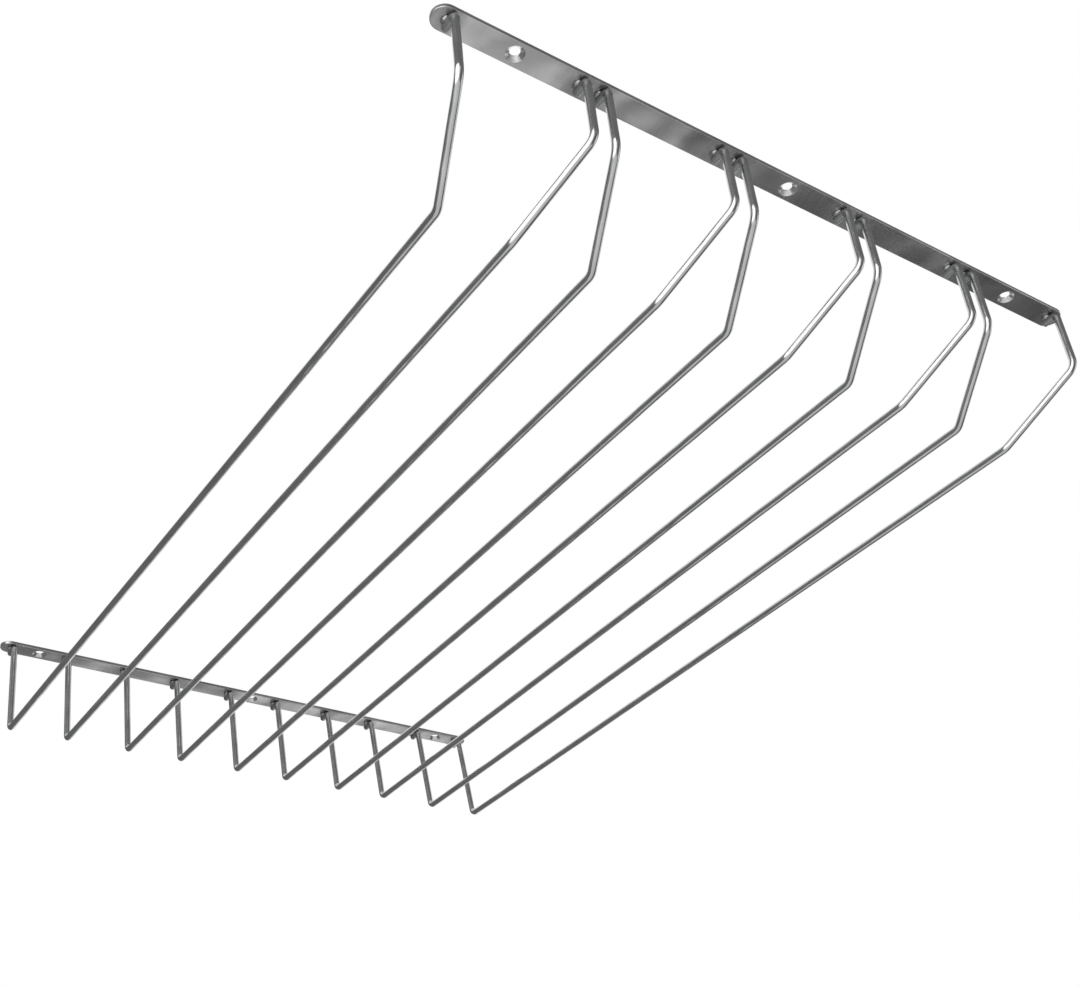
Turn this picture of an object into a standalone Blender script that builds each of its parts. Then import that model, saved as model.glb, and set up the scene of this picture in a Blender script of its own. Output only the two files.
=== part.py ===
"""Hanging stemware rack: two flat steel bars screw up under a shelf, and ten bent round wires
hang between them in pairs. Each pair is one channel, with a flared mouth at the front bar.

X runs along the bars, Y from the front bar to the rear bar, and Z up. The origin lies on the
mounting plane, which is the bars' top face, midway between the two bars.
"""

import math

import bmesh
import bpy
from mathutils import Matrix, Vector

# Driving sizes, in metres.
CHANNEL_COUNT = 5
CHANNEL_PITCH = 0.090
CHANNEL_GAP = 0.0425
NEIGHBOUR_SPACING = 0.013
BAR_SPACING = 0.672
BAR_WIDTH = 0.015
BAR_THICKNESS = 0.0025
BAR_TIP_OVERHANG = 0.0090
WIRE_DIAMETER = 0.0048
RUN_DROP = 0.078
SHOULDER_DROP = 0.0435
RAMP_REACH = 0.051
REAR_LEG_LEAN = 0.0165
LEG_STANDOFF = 0.0010

# Screw holes: a countersunk hole over the middle of every other channel, in both bars.
HOLE_DIAMETER = 0.0055
COUNTERSINK_DIAMETER = 0.0102
COUNTERSINK_DEPTH = 0.0020
HOLE_EVERY = 2

# Bend radii of the wire's centre line, and the small sizes of its ends and of the bars' edges.
TAIL_BEND_RADIUS = 0.0028
SHOULDER_BEND_RADIUS = 0.010
RAMP_BEND_RADIUS = 0.009
HEEL_BEND_RADIUS = 0.0050
TAIL_INSET = 0.0040
TAIL_CHAMFER = 0.0005
TAIL_TIP_SHARE = 0.80
BAR_EDGE_ROUNDING = 0.0005

# Clearance left at each welded seat, and how far a cutter runs past the bar's faces.
WELD_GAP = 0.0003
CUT_OVERRUN = 0.0010

# Facets.
BEND_STEP = math.radians(15)
WIRE_BEVEL_RESOLUTION = 4
BAR_END_STEPS = 16
HOLE_SIDES = 24
EDGE_STEPS = 2
SHARP_ANGLE = math.radians(35)

# Sizes that follow from the ones above. At the front bar, neighbouring channels' wires stand
# NEIGHBOUR_SPACING apart, and what is left of the pitch is the mouth. Each leg stands out past
# its bar's front edge by LEG_STANDOFF.
WIRE_RADIUS = WIRE_DIAMETER / 2
MOUTH_GAP = CHANNEL_PITCH - NEIGHBOUR_SPACING
FRONT_BAR_Y = -BAR_SPACING / 2
REAR_BAR_Y = BAR_SPACING / 2
BAR_UNDERSIDE_Z = -BAR_THICKNESS
TAIL_Z = BAR_UNDERSIDE_Z - WELD_GAP - WIRE_RADIUS
LEG_INSET = WIRE_RADIUS - BAR_WIDTH / 2 - LEG_STANDOFF
TAIL_END = BAR_WIDTH / 2 - TAIL_INSET
OUTER_CHANNEL_X = (CHANNEL_COUNT - 1) / 2 * CHANNEL_PITCH
FRONT_BAR_HALF_LENGTH = OUTER_CHANNEL_X + MOUTH_GAP / 2 + BAR_TIP_OVERHANG
REAR_BAR_HALF_LENGTH = OUTER_CHANNEL_X + CHANNEL_GAP / 2 + BAR_TIP_OVERHANG


def clear_scene():
    for item in list(bpy.data.objects):
        bpy.data.objects.remove(item, do_unlink=True)


def metal(name, colour, roughness):
    material = bpy.data.materials.new(name)
    material.use_nodes = True
    shader = material.node_tree.nodes["Principled BSDF"]
    shader.inputs["Base Color"].default_value = (*colour, 1.0)
    shader.inputs["Metallic"].default_value = 1.0
    shader.inputs["Roughness"].default_value = roughness
    return material


def add_object(name, data, parent, location=(0, 0, 0)):
    item = bpy.data.objects.new(name, data)
    bpy.context.scene.collection.objects.link(item)
    item.parent = parent
    item.location = location
    return item


def channel_x(index):
    """The middle of a channel, counted from 0 at the left."""
    return (index - (CHANNEL_COUNT - 1) / 2) * CHANNEL_PITCH


def bend(before, corner, after, radius):
    """Points of the arc that rounds one corner of a path, from tangent point to tangent point."""
    into = (corner - before).normalized()
    out = (after - corner).normalized()
    turn = into.angle(out)
    tangent = radius * math.tan(turn / 2)
    start = corner - into * tangent
    axis = into.cross(out).normalized()
    centre = start + axis.cross(into) * radius
    steps = max(2, math.ceil(turn / BEND_STEP))
    return [
        centre + Matrix.Rotation(turn * step / steps, 3, axis) @ (start - centre)
        for step in range(steps + 1)
    ]


def wire_path(side):
    """Centre line of one wire from tail to tail; side is -1 for a channel's left wire, 1 for its right."""
    mouth_x = side * MOUTH_GAP / 2
    run_x = side * CHANNEL_GAP / 2
    front_leg_y = FRONT_BAR_Y + LEG_INSET
    rear_leg_y = REAR_BAR_Y + LEG_INSET
    run_z = BAR_UNDERSIDE_Z - RUN_DROP
    corners = [
        Vector((mouth_x, FRONT_BAR_Y + TAIL_END, TAIL_Z)),
        Vector((mouth_x, front_leg_y, TAIL_Z)),
        Vector((mouth_x, front_leg_y, BAR_UNDERSIDE_Z - SHOULDER_DROP)),
        Vector((run_x, front_leg_y + RAMP_REACH, run_z)),
        Vector((run_x, rear_leg_y - REAR_LEG_LEAN, run_z)),
        Vector((run_x, rear_leg_y, TAIL_Z)),
        Vector((run_x, REAR_BAR_Y + TAIL_END, TAIL_Z)),
    ]
    radii = [
        TAIL_BEND_RADIUS,
        SHOULDER_BEND_RADIUS,
        RAMP_BEND_RADIUS,
        HEEL_BEND_RADIUS,
        TAIL_BEND_RADIUS,
    ]
    chamfer = Vector((0, TAIL_CHAMFER, 0))
    points = [corners[0], corners[0] - chamfer]
    for before, corner, after, radius in zip(corners, corners[1:], corners[2:], radii):
        points += bend(before, corner, after, radius)
    points += [corners[-1] - chamfer, corners[-1]]
    return points


def wire_curve(name, side, material):
    """One wire as a bevelled curve, with its two cut ends slightly chamfered."""
    curve = bpy.data.curves.new(name, "CURVE")
    curve.dimensions = "3D"
    curve.bevel_depth = WIRE_RADIUS
    curve.bevel_resolution = WIRE_BEVEL_RESOLUTION
    curve.use_fill_caps = True
    points = wire_path(side)
    spline = curve.splines.new("POLY")
    spline.points.add(len(points) - 1)
    for slot, point in zip(spline.points, points):
        slot.co = (*point, 1.0)
    spline.points[0].radius = TAIL_TIP_SHARE
    spline.points[-1].radius = TAIL_TIP_SHARE
    spline.use_smooth = True
    curve.materials.append(material)
    return curve


def bar_mesh(name, half_length, material):
    """A flat bar with full round ends, its top face on the mounting plane."""
    radius = BAR_WIDTH / 2
    arc_x = half_length - radius
    shape = bmesh.new()
    outline = []
    for end in (1, -1):
        for step in range(BAR_END_STEPS + 1):
            angle = math.pi * (step / BAR_END_STEPS - 1 / 2)
            x = end * (arc_x + radius * math.cos(angle))
            outline.append(shape.verts.new((x, end * radius * math.sin(angle), 0)))
    top = shape.faces.new(outline)
    made = bmesh.ops.extrude_face_region(shape, geom=[top])
    lower = [item for item in made["geom"] if isinstance(item, bmesh.types.BMVert)]
    bmesh.ops.translate(shape, vec=(0, 0, -BAR_THICKNESS), verts=lower)
    bmesh.ops.recalc_face_normals(shape, faces=shape.faces)
    mesh = bpy.data.meshes.new(name)
    shape.to_mesh(mesh)
    shape.free()
    mesh.shade_smooth()
    mesh.materials.append(material)
    return mesh


def hole_cutter_mesh():
    """A turned plug: the screw's clearance hole above, opening into its countersink below."""
    hole_radius = HOLE_DIAMETER / 2
    sink_radius = COUNTERSINK_DIAMETER / 2
    profile = [
        (sink_radius, BAR_UNDERSIDE_Z - CUT_OVERRUN),
        (sink_radius, BAR_UNDERSIDE_Z),
        (hole_radius, BAR_UNDERSIDE_Z + COUNTERSINK_DEPTH),
        (hole_radius, CUT_OVERRUN),
    ]
    shape = bmesh.new()
    rings = []
    for radius, z in profile:
        angles = [math.tau * step / HOLE_SIDES for step in range(HOLE_SIDES)]
        rings.append([shape.verts.new((radius * math.cos(a), radius * math.sin(a), z)) for a in angles])
    for lower, upper in zip(rings, rings[1:]):
        for step in range(HOLE_SIDES):
            after = (step + 1) % HOLE_SIDES
            shape.faces.new((lower[step], lower[after], upper[after], upper[step]))
    shape.faces.new(reversed(rings[0]))
    shape.faces.new(rings[-1])
    mesh = bpy.data.meshes.new("screw_hole_cutter")
    shape.to_mesh(mesh)
    shape.free()
    mesh.shade_smooth()
    return mesh


def cut_holes(bar, cutter_mesh):
    """Cuts the bar's screw holes, each over the middle of its channel."""
    for index in range(0, CHANNEL_COUNT, HOLE_EVERY):
        name = f"{bar.name}_hole_{index + 1}"
        cutter = add_object(name, cutter_mesh, bar, (channel_x(index), 0, 0))
        cutter.hide_render = True
        cutter.display_type = "WIRE"
        cut = bar.modifiers.new(name, "BOOLEAN")
        cut.operation = "DIFFERENCE"
        cut.solver = "EXACT"
        cut.object = cutter


def round_edges(bar):
    """Rounds the edges of the bar's outline, and keeps its flat faces shaded flat."""
    rounding = bar.modifiers.new("edge_rounding", "BEVEL")
    rounding.width = BAR_EDGE_ROUNDING
    rounding.segments = EDGE_STEPS
    rounding.limit_method = "ANGLE"
    rounding.angle_limit = SHARP_ANGLE
    rounding.harden_normals = True


def build_bars(rack):
    steel = metal("bar_steel", (0.62, 0.62, 0.63), 0.30)
    cutter_mesh = hole_cutter_mesh()
    bars = (
        ("front_bar", FRONT_BAR_HALF_LENGTH, FRONT_BAR_Y),
        ("rear_bar", REAR_BAR_HALF_LENGTH, REAR_BAR_Y),
    )
    for name, half_length, y in bars:
        bar = add_object(name, bar_mesh(name, half_length, steel), rack, (0, y, 0))
        round_edges(bar)
        cut_holes(bar, cutter_mesh)


def build_wires(rack):
    chrome = metal("wire_chrome", (0.68, 0.69, 0.70), 0.14)
    for word, side in (("left", -1), ("right", 1)):
        curve = wire_curve(f"{word}_wire", side, chrome)
        for index in range(CHANNEL_COUNT):
            name = f"channel_{index + 1}_{word}_wire"
            add_object(name, curve, rack, (channel_x(index), 0, 0))


def main():
    clear_scene()
    rack = add_object("rack", None, None)
    build_bars(rack)
    build_wires(rack)


main()
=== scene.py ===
"""The looks of the hanging wine glass rack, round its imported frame: smooth bent wires, finely
rounded bars, weld beads, chrome and steel finishes, a studio and the camera.

Lengths are in metres. X runs along the bars, Y from the front bar to the rear bar, and Z up.
The mounting plane, which is the top face of both bars, lies at Z = 0.
"""

import math
import random

import bmesh
import bpy
from mathutils import Matrix, Vector


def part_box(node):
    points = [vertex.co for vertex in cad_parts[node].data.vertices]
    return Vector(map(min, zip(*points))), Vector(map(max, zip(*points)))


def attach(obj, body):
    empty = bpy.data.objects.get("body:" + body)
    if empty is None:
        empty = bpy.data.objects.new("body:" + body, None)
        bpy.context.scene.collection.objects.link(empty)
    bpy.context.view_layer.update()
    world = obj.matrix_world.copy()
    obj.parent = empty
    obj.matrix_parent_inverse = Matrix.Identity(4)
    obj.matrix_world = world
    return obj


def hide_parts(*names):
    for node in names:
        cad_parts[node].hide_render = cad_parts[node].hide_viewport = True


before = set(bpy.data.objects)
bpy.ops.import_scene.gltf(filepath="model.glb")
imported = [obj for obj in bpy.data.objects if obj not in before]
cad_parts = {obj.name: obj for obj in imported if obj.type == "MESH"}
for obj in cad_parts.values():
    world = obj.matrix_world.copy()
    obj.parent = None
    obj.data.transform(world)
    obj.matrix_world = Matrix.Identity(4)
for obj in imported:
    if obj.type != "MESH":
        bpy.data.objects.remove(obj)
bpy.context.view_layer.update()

# Sizes read from the frame.
FRONT_LOW, FRONT_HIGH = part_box("front_bar")
REAR_LOW, REAR_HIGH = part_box("rear_bar")
BAR_WIDTH = FRONT_HIGH.y - FRONT_LOW.y
BAR_THICKNESS = FRONT_HIGH.z - FRONT_LOW.z
FRONT_HALF_LENGTH = FRONT_HIGH.x
REAR_HALF_LENGTH = REAR_HIGH.x
FRONT_BAR_Y = (FRONT_LOW.y + FRONT_HIGH.y) / 2
REAR_BAR_Y = (REAR_LOW.y + REAR_HIGH.y) / 2
UNDERSIDE_Z = FRONT_LOW.z

# The rack's own sizes, as it was designed. The bend radii run from the front tail to the rear one.
CHANNEL_COUNT = 5
CHANNEL_PITCH = 0.090
CHANNEL_GAP = 0.0425
MOUTH_GAP = 0.077
WIRE_RADIUS = 0.0024
RUN_DROP = 0.078
SHOULDER_DROP = 0.0435
RAMP_REACH = 0.051
REAR_LEG_LEAN = 0.0165
LEG_STANDOFF = 0.0010
WELD_GAP = 0.0003
TAIL_INSET = 0.0040
TAIL_Z = UNDERSIDE_Z - WELD_GAP - WIRE_RADIUS
LEG_INSET = WIRE_RADIUS - BAR_WIDTH / 2 - LEG_STANDOFF
TAIL_END = BAR_WIDTH / 2 - TAIL_INSET
BEND_RADII = (0.0028, 0.010, 0.009, 0.0050, 0.0028)
HOLE_RADIUS = 0.00275
SINK_RADIUS = 0.0051
SINK_DEPTH = 0.0020
HOLE_EVERY = 2

# Edges sharper than this stay sharp in a piece's shading.
SMOOTH_ANGLE = math.radians(35)


def channel_x(index):
    """The middle of a channel, counted from 0 at the left."""
    return (index - (CHANNEL_COUNT - 1) / 2) * CHANNEL_PITCH


def object_from(shape, name, material, smooth_angle=SMOOTH_ANGLE):
    """Turns a bmesh into a smoothly shaded object in the scene."""
    mesh = bpy.data.meshes.new(name)
    shape.to_mesh(mesh)
    shape.free()
    mesh.shade_smooth()
    mesh.set_sharp_from_angle(angle=smooth_angle)
    mesh.materials.append(material)
    piece = bpy.data.objects.new(name, mesh)
    bpy.context.scene.collection.objects.link(piece)
    return piece


def join_rings(shape, rings):
    """Skins rings of vertices into a closed tube, and returns its side faces, ring by ring."""
    sides = []
    for near, far in zip(rings, rings[1:]):
        for step in range(len(near)):
            after = (step + 1) % len(near)
            sides.append(shape.faces.new((near[step], near[after], far[after], far[step])))
    shape.faces.new(reversed(rings[0]))
    shape.faces.new(rings[-1])
    return sides


# Wires. TUBE_INSET keeps the round tubes inside the box of the CAD's twelve-sided ones.
WIRE_SIDES = 32
BEND_STEP = math.radians(3)
STRAIGHT_STEP = 0.02
END_ROUNDING = 0.0005
END_STEPS = 4
TUBE_INSET = 0.00007


def bend(before, corner, after, radius):
    """Points of the arc that rounds one corner of a path, from tangent point to tangent point."""
    into = (corner - before).normalized()
    out = (after - corner).normalized()
    turn = into.angle(out)
    start = corner - into * radius * math.tan(turn / 2)
    axis = into.cross(out).normalized()
    centre = start + axis.cross(into) * radius
    steps = math.ceil(turn / BEND_STEP)
    return [
        centre + Matrix.Rotation(turn * step / steps, 3, axis) @ (start - centre)
        for step in range(steps + 1)
    ]


def straight(start, end):
    """Points between two others, so that a long straight stretch has rings of its own."""
    count = int((end - start).length / STRAIGHT_STEP)
    return [start.lerp(end, step / (count + 1)) for step in range(1, count + 1)]


def wire_path(side):
    """Centre line of one wire, from front tail to rear tail; side is -1 for left, 1 for right."""
    mouth_x = side * MOUTH_GAP / 2
    run_x = side * CHANNEL_GAP / 2
    front_leg_y = FRONT_BAR_Y + LEG_INSET
    rear_leg_y = REAR_BAR_Y + LEG_INSET
    run_z = UNDERSIDE_Z - RUN_DROP
    corners = [
        Vector((mouth_x, FRONT_BAR_Y + TAIL_END, TAIL_Z)),
        Vector((mouth_x, front_leg_y, TAIL_Z)),
        Vector((mouth_x, front_leg_y, UNDERSIDE_Z - SHOULDER_DROP)),
        Vector((run_x, front_leg_y + RAMP_REACH, run_z)),
        Vector((run_x, rear_leg_y - REAR_LEG_LEAN, run_z)),
        Vector((run_x, rear_leg_y, TAIL_Z)),
        Vector((run_x, REAR_BAR_Y + TAIL_END, TAIL_Z)),
    ]
    points = [corners[0]]
    for before, corner, after, radius in zip(corners, corners[1:], corners[2:], BEND_RADII):
        arc = bend(before, corner, after, radius)
        points += straight(points[-1], arc[0]) + arc
    return points + straight(points[-1], corners[-1]) + [corners[-1]]


def rounded_end(tip, towards):
    """The first rings of a slightly rounded cut end, as (point, share of the radius) pairs."""
    rounding = []
    for step in range(END_STEPS):
        angle = math.pi / 2 * step / END_STEPS
        share = 1 - END_ROUNDING / WIRE_RADIUS * (1 - math.sin(angle))
        rounding.append((tip + towards * END_ROUNDING * (1 - math.cos(angle)), share))
    return rounding


def with_rounded_ends(points):
    """The path as (point, share of the radius) pairs, with both cut ends slightly rounded."""
    first = (points[1] - points[0]).normalized()
    last = (points[-2] - points[-1]).normalized()
    middle = [(points[0] + first * END_ROUNDING, 1.0)]
    middle += [(point, 1.0) for point in points[1:-1]]
    middle += [(points[-1] + last * END_ROUNDING, 1.0)]
    return rounded_end(points[0], first) + middle + rounded_end(points[-1], last)[::-1]


def sweep(path, radius):
    """A closed round tube along (point, share) pairs, with UVs in metres along it and round it."""
    shape = bmesh.new()
    uv = shape.loops.layers.uv.new("UVMap")
    points = [point for point, share in path]
    tangents = []
    for index in range(len(points)):
        ahead = points[min(index + 1, len(points) - 1)]
        behind = points[max(index - 1, 0)]
        tangents.append((ahead - behind).normalized())
    across = tangents[0].cross(Vector((1, 0, 0))).normalized()
    rings = []
    travelled = [0.0]
    for index, (point, share) in enumerate(path):
        if index:
            turn = tangents[index - 1].rotation_difference(tangents[index])
            across = (turn @ across).normalized()
            travelled.append(travelled[-1] + (point - points[index - 1]).length)
        beside = tangents[index].cross(across)
        ring = []
        for step in range(WIRE_SIDES):
            angle = math.tau * step / WIRE_SIDES
            out = across * math.cos(angle) + beside * math.sin(angle)
            ring.append(shape.verts.new(point + out * radius * share))
        rings.append(ring)
    girth = math.tau * radius
    for number, face in enumerate(join_rings(shape, rings)):
        index, step = divmod(number, WIRE_SIDES)
        near, far = travelled[index], travelled[index + 1]
        corners = ((near, step), (near, step + 1), (far, step + 1), (far, step))
        for loop, (length, place) in zip(face.loops, corners):
            loop[uv].uv = (length, girth * place / WIRE_SIDES)
    bmesh.ops.recalc_face_normals(shape, faces=shape.faces)
    return shape


def build_wires(chrome):
    for word, side in (("left", -1), ("right", 1)):
        path = with_rounded_ends(wire_path(side))
        for index in range(CHANNEL_COUNT):
            shape = sweep(path, WIRE_RADIUS - TUBE_INSET)
            bmesh.ops.translate(shape, vec=(channel_x(index), 0, 0), verts=shape.verts)
            wire = object_from(shape, f"chrome_wire_{index + 1}_{word}", chrome)
            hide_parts(f"channel_{index + 1}_{word}_wire")
            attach(wire, "root")


# Bars.
BAR_END_STEPS = 48
HOLE_SIDES = 72
EDGE_ROUNDING = 0.0005
EDGE_STEPS = 4
RIM_ROUNDING = 0.00012
RIM_STEPS = 2
SHARP_ANGLE = math.radians(30)
CUT_OVERRUN = 0.0010


def bar_shape(half_length):
    """A flat bar with full round ends, its top face on the mounting plane."""
    radius = BAR_WIDTH / 2
    arc_x = half_length - radius
    shape = bmesh.new()
    outline = []
    for end in (1, -1):
        for step in range(BAR_END_STEPS + 1):
            angle = math.pi * (step / BAR_END_STEPS - 1 / 2)
            x = end * (arc_x + radius * math.cos(angle))
            outline.append(shape.verts.new((x, end * radius * math.sin(angle), 0)))
    top = shape.faces.new(outline)
    made = bmesh.ops.extrude_face_region(shape, geom=[top])
    lower = [item for item in made["geom"] if isinstance(item, bmesh.types.BMVert)]
    bmesh.ops.translate(shape, vec=(0, 0, -BAR_THICKNESS), verts=lower)
    bmesh.ops.recalc_face_normals(shape, faces=shape.faces)
    return shape


def screw_hole_cutter():
    """A turned plug: the screw's clearance hole above, opening into its countersink below."""
    profile = [
        (SINK_RADIUS, UNDERSIDE_Z - CUT_OVERRUN),
        (SINK_RADIUS, UNDERSIDE_Z),
        (HOLE_RADIUS, UNDERSIDE_Z + SINK_DEPTH),
        (HOLE_RADIUS, CUT_OVERRUN),
    ]
    angles = [math.tau * step / HOLE_SIDES for step in range(HOLE_SIDES)]
    shape = bmesh.new()
    rings = []
    for radius, z in profile:
        circle = [(radius * math.cos(angle), radius * math.sin(angle), z) for angle in angles]
        rings.append([shape.verts.new(point) for point in circle])
    join_rings(shape, rings)
    return shape


def ease_edges(bar, name, width, steps):
    """Rounds every sharp edge that the bar has so far."""
    rounding = bar.modifiers.new(name, "BEVEL")
    rounding.width = width
    rounding.segments = steps
    rounding.limit_method = "ANGLE"
    rounding.angle_limit = SHARP_ANGLE
    rounding.harden_normals = True


def build_bar(node, half_length, y, steel, seat_steel):
    """One bar with its screw holes, each over the middle of its channel."""
    bar = object_from(bar_shape(half_length), f"steel_{node}", steel)
    ease_edges(bar, "outline", EDGE_ROUNDING, EDGE_STEPS)
    cutters = []
    for index in range(0, CHANNEL_COUNT, HOLE_EVERY):
        cutter = object_from(screw_hole_cutter(), f"cutter_{node}_{index}", seat_steel)
        cutter.location = (channel_x(index), 0, 0)
        cut = bar.modifiers.new(cutter.name, "BOOLEAN")
        cut.object = cutter
        cut.solver = "EXACT"
        cut.material_mode = "TRANSFER"
        cutters.append(cutter)
    ease_edges(bar, "rims", RIM_ROUNDING, RIM_STEPS)
    bpy.context.view_layer.update()
    finished = bar.evaluated_get(bpy.context.evaluated_depsgraph_get())
    mesh = bpy.data.meshes.new_from_object(finished)
    bar.modifiers.clear()
    bar.data = mesh
    for cutter in cutters:
        bpy.data.objects.remove(cutter)
    bar.location.y = y
    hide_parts(node)
    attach(bar, "root")


# Weld beads: an uneven fillet on each side of every tail, under the bar. A bead's middle lies
# BEAD_OFFSET beside the tail's and BEAD_DROP below the bar, and its top is flattened BEAD_BURIED
# inside the bar. BEAD_START is how far past the leg's middle it starts, and BEAD_END how far
# short of the tail's end it stops. BEAD_TIP_SHARE keeps its tips from coming to a point.
BEAD_RADIUS = 0.0014
BEAD_OFFSET = 0.0022
BEAD_DROP = 0.0008
BEAD_BURIED = 0.0002
BEAD_START = (0.0022, 0.0034)
BEAD_END = (0.0002, 0.0016)
BEAD_SWELL = (0.94, 1.06)
BEAD_SWAY = 0.00006
BEAD_TIP_SHARE = 0.02
BEAD_TAPER = 0.7
BEAD_SIDES = 12
BEAD_RINGS = 18
BEAD_SMOOTH_ANGLE = math.radians(60)


def bead(shape, rng, x, start, end):
    """One fillet along Y: a lumpy tube that tapers to both ends, partly sunk in wire and bar."""
    rings = []
    swell = [rng.uniform(*BEAD_SWELL) for _ in range(BEAD_RINGS + 1)]
    sway = [rng.uniform(-BEAD_SWAY, BEAD_SWAY) for _ in range(BEAD_RINGS + 1)]
    for step in range(BEAD_RINGS + 1):
        share = step / BEAD_RINGS
        inside = min(max(share, BEAD_TIP_SHARE), 1 - BEAD_TIP_SHARE)
        taper = math.sin(math.pi * inside) ** BEAD_TAPER
        radius = BEAD_RADIUS * taper * (swell[step] + swell[max(step - 1, 0)]) / 2
        y = start + (end - start) * share
        ring = []
        for side in range(BEAD_SIDES):
            angle = math.tau * side / BEAD_SIDES
            across = x + sway[step] + radius * math.cos(angle)
            up = UNDERSIDE_Z + min(radius * math.sin(angle) - BEAD_DROP, BEAD_BURIED)
            ring.append(shape.verts.new((across, y, up)))
        rings.append(ring)
    join_rings(shape, rings)


def build_welds(node, y, gap, weld_steel):
    """All the weld beads under one bar; gap is the distance between a channel's two wires there."""
    rng = random.Random(node)
    shape = bmesh.new()
    for index in range(CHANNEL_COUNT):
        for side in (-1, 1):
            middle = channel_x(index) + side * gap / 2
            for beside in (-1, 1):
                start = y + LEG_INSET + rng.uniform(*BEAD_START)
                end = y + TAIL_END - rng.uniform(*BEAD_END)
                bead(shape, rng, middle + beside * BEAD_OFFSET, start, end)
    bmesh.ops.recalc_face_normals(shape, faces=shape.faces)
    welds = object_from(shape, f"{node}_welds", weld_steel, BEAD_SMOOTH_ANGLE)
    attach(welds, "root")


class Nodes:
    """A short way to build one material's nodes."""

    def __init__(self, name):
        self.material = bpy.data.materials.new(name)
        self.material.use_nodes = True
        self.tree = self.material.node_tree
        self.shader = self.tree.nodes["Principled BSDF"]
        self.coordinates = self.tree.nodes.new("ShaderNodeTexCoord")

    def add(self, kind, **settings):
        """A new node; each setting is the value of an input, or else an attribute."""
        node = self.tree.nodes.new(kind)
        for name, value in settings.items():
            if name in node.inputs:
                node.inputs[name].default_value = value
            else:
                setattr(node, name, value)
        return node

    def link(self, output, socket):
        self.tree.links.new(output, socket)

    def place(self, axis, source="Object"):
        """One coordinate: of the piece's own space in metres, or of its UVs."""
        split = self.add("ShaderNodeSeparateXYZ")
        self.link(self.coordinates.outputs[source], split.inputs[0])
        return split.outputs[axis]

    def noise(self, source, scales, detail=3.0):
        """Noise on coordinates scaled unevenly, which draws it out into bands or lines."""
        mapping = self.add("ShaderNodeMapping", Scale=scales)
        self.link(self.coordinates.outputs[source], mapping.inputs["Vector"])
        noise = self.add("ShaderNodeTexNoise", Scale=1.0, Detail=detail)
        self.link(mapping.outputs["Vector"], noise.inputs["Vector"])
        return noise.outputs["Fac"]

    def maths(self, operation, first, second=0.0):
        """The result of a maths operation on two values, each a socket or a float."""
        node = self.add("ShaderNodeMath", operation=operation)
        for value, socket in zip((first, second), node.inputs):
            if isinstance(value, float):
                socket.default_value = value
            else:
                self.link(value, socket)
        return node.outputs[0]

    def between(self, value, low, high, start=0.3, end=0.7, interpolation="LINEAR"):
        """A value mapped from start..end onto low..high; noise lies mostly between 0.3 and 0.7."""
        spread = self.add("ShaderNodeMapRange", interpolation_type=interpolation)
        self.link(value, spread.inputs["Value"])
        spread.inputs["From Min"].default_value = start
        spread.inputs["From Max"].default_value = end
        spread.inputs["To Min"].default_value = low
        spread.inputs["To Max"].default_value = high
        return spread.outputs["Result"]

    def tint(self, value, colours):
        """A mix of two colours, from the first at 0 to the second at 1."""
        mix = self.add("ShaderNodeMix", data_type="RGBA")
        self.link(value, mix.inputs[0])
        for colour, socket in zip(colours, (mix.inputs[6], mix.inputs[7])):
            socket.default_value = (*colour, 1)
        return mix.outputs[2]

    def bump(self, height, distance, after=None):
        """A bump of height, on top of an earlier one where it is given."""
        bump = self.add("ShaderNodeBump", Strength=1.0, Distance=distance)
        self.link(height, bump.inputs["Height"])
        if after:
            self.link(after, bump.inputs["Normal"])
        return bump.outputs["Normal"]

    def metal(self, colour, roughness, normal):
        """Ends a metal's material with the outputs that make its looks."""
        self.shader.inputs["Metallic"].default_value = 1.0
        self.link(colour, self.shader.inputs["Base Color"])
        self.link(roughness, self.shader.inputs["Roughness"])
        self.link(normal, self.shader.inputs["Normal"])
        return self.material

    def surface(self, output):
        """Ends a material with a shader of its own."""
        self.link(output, self.tree.nodes["Material Output"].inputs["Surface"])
        return self.material


# Finishes. A pair of colours or of roughnesses is the range of an uneven tone, a noise's scales
# are its lumps per metre along three axes, and a depth is how far a bump stands out.
BAR_COLOURS = ((0.46, 0.46, 0.465), (0.82, 0.82, 0.825))
BAR_ROUGHNESS = (0.17, 0.23)
BAR_BANDS = (30, 40, 40)
BAR_LINES = (1400, 60, 60)
BAR_LINE_DEPTH = 0.000002
BAR_WAVES = (26, 30, 30)
BAR_WAVE_DEPTH = 0.0014

SEAT_COLOURS = ((0.62, 0.62, 0.62), (0.86, 0.86, 0.86))
SEAT_ROUGHNESS = (0.12, 0.24)
SEAT_SPOTS = (600, 600, 600)
SEAT_MARKS = (90, 90, 9000)
SEAT_MARK_DEPTH = 0.00001

# The welds are darker than the bar: partly heat tint, partly painted shade where they sit under the
# bar.
WELD_COLOURS_WITH_PAINTED_SHADE = ((0.36, 0.36, 0.36), (0.50, 0.50, 0.50))
WELD_ROUGHNESS = (0.40, 0.55)
WELD_PITS = (900, 900, 900)
WELD_PIT_DEPTH = 0.00003

WIRE_COLOURS = ((0.30, 0.305, 0.31), (0.66, 0.665, 0.67))
WIRE_PATCH_SHADES = (0.69, 1)
WIRE_PATCHES = (60, 90, 1)
WIRE_ROUGHNESS = (0.12, 0.22)
WIRE_LINES = (25, 3500, 1)
WIRE_LINE_DEPTH = 0.000004
WIRE_WAVES = (40, 40, 40)
WIRE_WAVE_DEPTH = 0.0010
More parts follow.
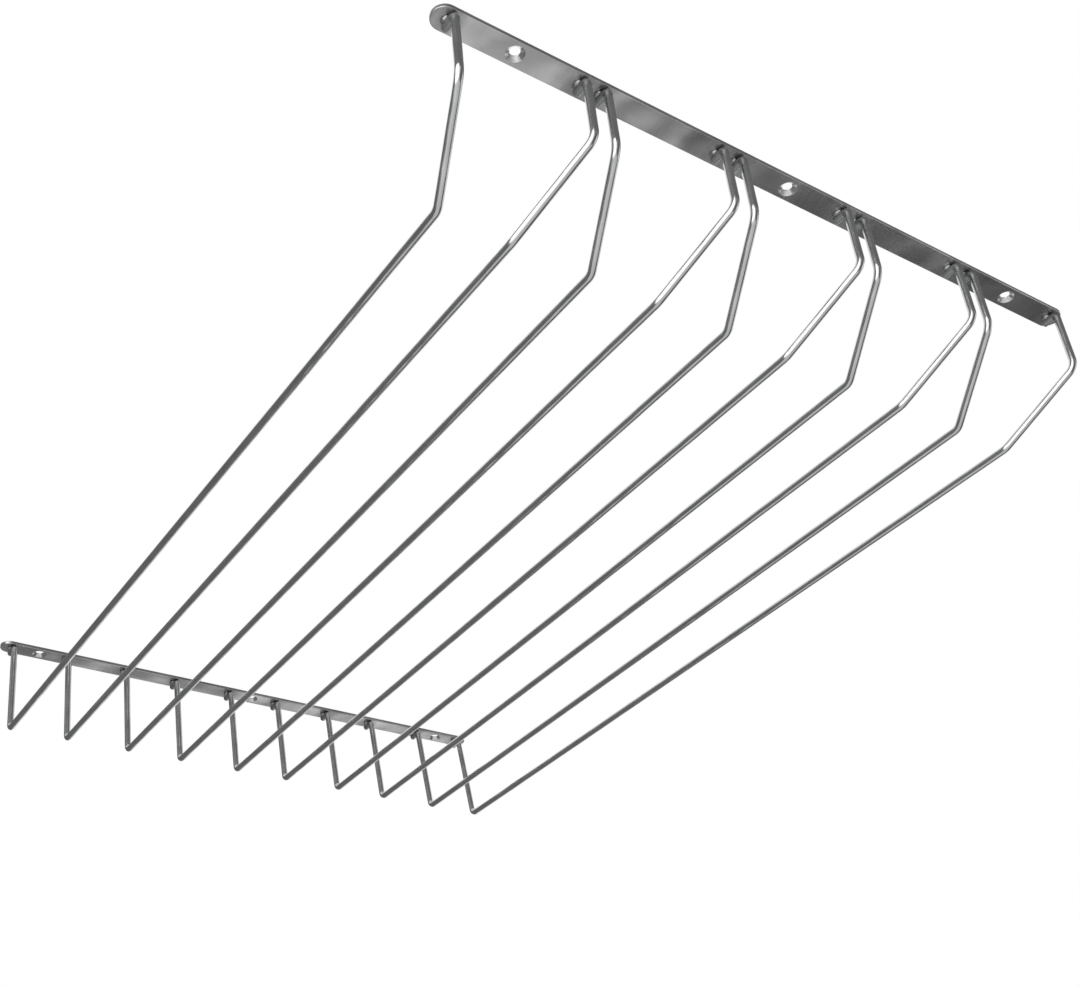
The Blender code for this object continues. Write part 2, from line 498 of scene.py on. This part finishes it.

# What the welds' heat has done to the plating, with painted shade where the wires meet the bar.
# On a bar it is full up to the first distance from a tail's middle and has faded out at the
# second. On a wire it sets in at the first height and is full at the second. A shade, partly
# heat tint and partly painted shade, is taken off the share that mixes the two colours, and a
# dullness from the heat is added to the roughness.
HEAT_TINT_AND_SHADE_ON_BAR = (0.0030, 0.0090)
HEAT_TINT_AND_SHADE_ON_BAR_UNEVENNESS = 0.0020
BAR_HEAT_TINT_AND_PAINTED_SHADE = 0.45
HEATED_BAR_DULLNESS = 0.14
HEAT_TINT_AND_SHADE_ON_WIRE = (-0.0115, -0.0070)
WIRE_HEAT_TINT_AND_PAINTED_SHADE = 0.63
HEATED_WIRE_DULLNESS = 0.28


def bar_finish_and_painted_shade(node, gap):
    """Plated flat bar: a soft sheen in uneven bands, faint waves and fine lines across it.

    Beside the tails it is duller from the welds' heat, and darker partly from heat tint and
    partly from painted shade where the wires meet the bar; gap is the distance between a
    channel's two wires there.
    """
    nodes = Nodes(f"{node}_steel_finish_and_painted_shade")
    bands = nodes.noise("Object", BAR_BANDS, detail=2.0)
    lines = nodes.noise("Object", BAR_LINES)
    waves = nodes.noise("Object", BAR_WAVES, detail=1.0)
    from_channel = nodes.maths("PINGPONG", nodes.place("X"), CHANNEL_PITCH / 2)
    from_tail = nodes.maths("ABSOLUTE", nodes.maths("SUBTRACT", from_channel, gap / 2))
    stray = nodes.between(bands, -HEAT_TINT_AND_SHADE_ON_BAR_UNEVENNESS, HEAT_TINT_AND_SHADE_ON_BAR_UNEVENNESS)
    heated_and_shaded = nodes.between(nodes.maths("ADD", from_tail, stray), 1, 0, *HEAT_TINT_AND_SHADE_ON_BAR)
    # Painted shade: darker beside the tails, partly heat tint and partly shade where the wires meet
    # the bar.
    darker = nodes.maths("MULTIPLY", heated_and_shaded, BAR_HEAT_TINT_AND_PAINTED_SHADE)
    duller = nodes.maths("MULTIPLY", heated_and_shaded, HEATED_BAR_DULLNESS)
    shade = nodes.maths("SUBTRACT", nodes.between(bands, 0, 1), darker)
    wavy = nodes.bump(waves, BAR_WAVE_DEPTH)
    return nodes.metal(
        nodes.tint(shade, BAR_COLOURS),
        nodes.maths("ADD", nodes.between(lines, *BAR_ROUGHNESS), duller),
        nodes.bump(lines, BAR_LINE_DEPTH, after=wavy),
    )


def seat_finish():
    """The screw holes' seats: smooth and a little spotty, with turning marks."""
    nodes = Nodes("screw_seat_finish")
    marks = nodes.noise("Object", SEAT_MARKS, detail=2.0)
    spots = nodes.noise("Object", SEAT_SPOTS, detail=2.0)
    return nodes.metal(
        nodes.tint(nodes.between(spots, 0, 1), SEAT_COLOURS),
        nodes.between(marks, *SEAT_ROUGHNESS),
        nodes.bump(marks, SEAT_MARK_DEPTH),
    )


def weld_finish_and_painted_shade():
    """Plated weld beads: dull, pitted, darker than the bar from heat tint and painted shade."""
    nodes = Nodes("weld_finish_and_painted_shade")
    pits = nodes.noise("Object", WELD_PITS)
    return nodes.metal(
        # Painted shade: the beads' darker tone is partly shade where they sit under the bar.
        nodes.tint(nodes.between(pits, 0, 1), WELD_COLOURS_WITH_PAINTED_SHADE),
        nodes.between(pits, *WELD_ROUGHNESS),
        nodes.bump(pits, WELD_PIT_DEPTH),
    )


def wire_finish_and_painted_shade():
    """Bright plating on drawn wire: slightly wavy, with fine lines along it and darker patches.

    The tails, fading out down the legs' tops, are duller from the welds' heat, and darker
    partly from heat tint and partly from painted shade under the bars.
    """
    nodes = Nodes("wire_chrome_finish_and_painted_shade")
    lines = nodes.noise("UV", WIRE_LINES)
    patches = nodes.noise("UV", WIRE_PATCHES)
    waves = nodes.noise("Object", WIRE_WAVES, detail=1.0)
    heated_and_shaded = nodes.between(nodes.place("Z"), 0, 1, *HEAT_TINT_AND_SHADE_ON_WIRE)
    # Painted shade: darker on the tails and the legs' tops, partly heat tint and partly shade under
    # the bar.
    darker = nodes.maths("MULTIPLY", heated_and_shaded, WIRE_HEAT_TINT_AND_PAINTED_SHADE)
    duller = nodes.maths("MULTIPLY", heated_and_shaded, HEATED_WIRE_DULLNESS)
    shade = nodes.maths("SUBTRACT", nodes.between(patches, *WIRE_PATCH_SHADES), darker)
    wavy = nodes.bump(waves, WIRE_WAVE_DEPTH)
    return nodes.metal(
        nodes.tint(shade, WIRE_COLOURS),
        nodes.maths("ADD", nodes.between(lines, *WIRE_ROUGHNESS), duller),
        nodes.bump(lines, WIRE_LINE_DEPTH, after=wavy),
    )


# Studio. The floor fades into the background between two distances from its middle, and a
# radiance of 1 looks white.
FLOOR_Z = -1.45
FLOOR_RADIUS = 60.0
FLOOR_SIDES = 128
FLOOR_FADE = (2.5, 9.0)
FLOOR_COLOUR = (0.75, 0.75, 0.75)
FLOOR_ROUGHNESS = 0.8
WORLD_LIGHT = 0.75
LAMP_LOCATION = (-1.96, -1.0, 0.0)
LAMP_WIDTH = 2.8
LAMP_HEIGHT = 2.7
LAMP_RADIANCE = 1.5


def mixed(tree, share, first, second):
    """A mix of two shader nodes, from the first at 0 to the second at 1."""
    mix = tree.nodes.new("ShaderNodeMixShader")
    tree.links.new(share, mix.inputs[0])
    tree.links.new(first.outputs[0], mix.inputs[1])
    tree.links.new(second.outputs[0], mix.inputs[2])
    return mix.outputs[0]


def shown_only(tree):
    """1 for rays from the camera and for mirrored and transmitted ones, 0 for the rest."""
    path = tree.nodes.new("ShaderNodeLightPath")
    total = path.outputs["Is Camera Ray"]
    for name in ("Is Glossy Ray", "Is Transmission Ray"):
        either = tree.nodes.new("ShaderNodeMath")
        either.operation = "MAXIMUM"
        tree.links.new(total, either.inputs[0])
        tree.links.new(path.outputs[name], either.inputs[1])
        total = either.outputs[0]
    return total


def floor_finish():
    """A matt pale floor that passes into the white background far from the rack."""
    nodes = Nodes("pale_floor")
    nodes.shader.inputs["Base Color"].default_value = (*FLOOR_COLOUR, 1)
    nodes.shader.inputs["Roughness"].default_value = FLOOR_ROUGHNESS
    away = nodes.add("ShaderNodeVectorMath", operation="LENGTH")
    nodes.link(nodes.coordinates.outputs["Object"], away.inputs[0])
    faded = nodes.between(away.outputs["Value"], 0, 1, *FLOOR_FADE)
    share = nodes.maths("MULTIPLY", faded, shown_only(nodes.tree))
    white = nodes.add("ShaderNodeEmission")
    return nodes.surface(mixed(nodes.tree, share, nodes.shader, white))


def build_floor():
    shape = bmesh.new()
    bmesh.ops.create_circle(shape, cap_ends=True, segments=FLOOR_SIDES, radius=FLOOR_RADIUS)
    floor = object_from(shape, "floor", floor_finish())
    floor.location.z = FLOOR_Z


def build_world():
    """White where the camera and the metal look past everything, and a soft light elsewhere."""
    world = bpy.data.worlds.new("studio")
    world.use_nodes = True
    bpy.context.scene.world = world
    tree = world.node_tree
    shown = tree.nodes["Background"]
    light = tree.nodes.new("ShaderNodeBackground")
    for background, strength in ((shown, 1.0), (light, WORLD_LIGHT)):
        background.inputs["Color"].default_value = (1, 1, 1, 1)
        background.inputs["Strength"].default_value = strength
    output = mixed(tree, shown_only(tree), light, shown)
    tree.links.new(output, tree.nodes["World Output"].inputs["Surface"])


def build_lamp():
    """A large soft lamp to the left of the rack, which faces its middle."""
    lamp = bpy.data.lights.new("left_softbox", "AREA")
    lamp.shape = "RECTANGLE"
    lamp.size = LAMP_WIDTH
    lamp.size_y = LAMP_HEIGHT
    lamp.energy = LAMP_RADIANCE * math.pi * LAMP_WIDTH * LAMP_HEIGHT
    holder = bpy.data.objects.new("left_softbox", lamp)
    bpy.context.scene.collection.objects.link(holder)
    holder.location = LAMP_LOCATION
    aim = Vector((0, 0, 0)) - Vector(LAMP_LOCATION)
    holder.rotation_euler = aim.to_track_quat("-Z", "Y").to_euler()


# Grey cards that only reflections show, as are set round bright metal in a studio. Each is a
# patch of a sphere round the rack: its name, its azimuths from +Y towards +X and its elevations
# in degrees, its distance, its grey, and the share of it over which each edge fades out.
CARD_STEPS = 24
CARDS = (
    ("rear_card", (-99, 12), (-40, 32), 1.75, 0.17, 0.10),
    ("low_card", (-116, 50), (-61, -20), 1.80, 0.17, 0.18),
    ("right_card", (26, 150), (-61, -12), 1.75, 0.11, 0.18),
    ("upper_left_card", (180, 318), (29, 57), 1.85, 0.19, 0.15),
    ("upper_front_card", (85, 222), (10, 76), 1.75, 0.19, 0.15),
    ("front_card", (138, 197), (-38, 22), 1.80, 0.15, 0.20),
)


def card_finish(name, grey, softness):
    """A flat grey that fades out towards the card's edges."""
    nodes = Nodes(name)
    nodes.tree.nodes.remove(nodes.shader)
    masks = []
    for axis in ("X", "Y"):
        inset = nodes.maths("PINGPONG", nodes.place(axis, "UV"), 0.5)
        masks.append(nodes.between(inset, 0, 1, 0, softness, "SMOOTHSTEP"))
    clear = nodes.add("ShaderNodeBsdfTransparent")
    shade = nodes.add("ShaderNodeEmission", Color=(grey, grey, grey, 1))
    return nodes.surface(mixed(nodes.tree, nodes.maths("MULTIPLY", *masks), clear, shade))


def on_sphere(azimuths, elevations, distance, along, up):
    """A point of a patch of a sphere, at a share along it and a share up it."""
    azimuth = math.radians(azimuths[0] + (azimuths[1] - azimuths[0]) * along)
    elevation = math.radians(elevations[0] + (elevations[1] - elevations[0]) * up)
    level = distance * math.cos(elevation)
    return (level * math.sin(azimuth), level * math.cos(azimuth), distance * math.sin(elevation))


def build_card(name, azimuths, elevations, distance, grey, softness):
    shape = bmesh.new()
    uv = shape.loops.layers.uv.new("UVMap")
    shares = [step / CARD_STEPS for step in range(CARD_STEPS + 1)]
    rows = [
        [shape.verts.new(on_sphere(azimuths, elevations, distance, along, up)) for along in shares]
        for up in shares
    ]
    for row in range(CARD_STEPS):
        for column in range(CARD_STEPS):
            corners = ((row, column), (row, column + 1), (row + 1, column + 1), (row + 1, column))
            face = shape.faces.new([rows[r][c] for r, c in corners])
            for loop, (r, c) in zip(face.loops, corners):
                loop[uv].uv = (shares[c], shares[r])
    card = object_from(shape, name, card_finish(name, grey, softness))
    card.visible_camera = False
    card.visible_diffuse = False
    card.visible_shadow = False


# The camera stands below the front bar's left end and looks up at the rack.
CAMERA_LOCATION = (-0.48231, -0.71075, -0.59003)
CAMERA_AZIMUTH = math.radians(37.7407)
CAMERA_ELEVATION = math.radians(34.3112)
CAMERA_ROLL = math.radians(-5.83)
LENS_MM = 49.85
SENSOR_WIDTH_MM = 36
CLIP_START = 0.01


def build_camera():
    data = bpy.data.cameras.new("camera")
    data.lens = LENS_MM
    data.sensor_width = SENSOR_WIDTH_MM
    data.clip_start = CLIP_START
    camera = bpy.data.objects.new("camera", data)
    bpy.context.scene.collection.objects.link(camera)
    turn = Matrix.Rotation(-CAMERA_AZIMUTH, 4, "Z")
    tilt = Matrix.Rotation(math.pi / 2 + CAMERA_ELEVATION, 4, "X")
    roll = Matrix.Rotation(CAMERA_ROLL, 4, "Z")
    camera.matrix_world = Matrix.Translation(CAMERA_LOCATION) @ turn @ tilt @ roll
    bpy.context.scene.camera = camera


def main():
    bpy.context.scene.view_settings.view_transform = "Standard"
    build_wires(wire_finish_and_painted_shade())
    seat_steel = seat_finish()
    weld_steel = weld_finish_and_painted_shade()
    bars = (
        ("front_bar", FRONT_HALF_LENGTH, FRONT_BAR_Y, MOUTH_GAP),
        ("rear_bar", REAR_HALF_LENGTH, REAR_BAR_Y, CHANNEL_GAP),
    )
    for node, half_length, y, gap in bars:
        build_bar(node, half_length, y, bar_finish_and_painted_shade(node, gap), seat_steel)
        build_welds(node, y, gap, weld_steel)
    build_floor()
    build_world()
    build_lamp()
    for card in CARDS:
        build_card(*card)
    build_camera()


main()
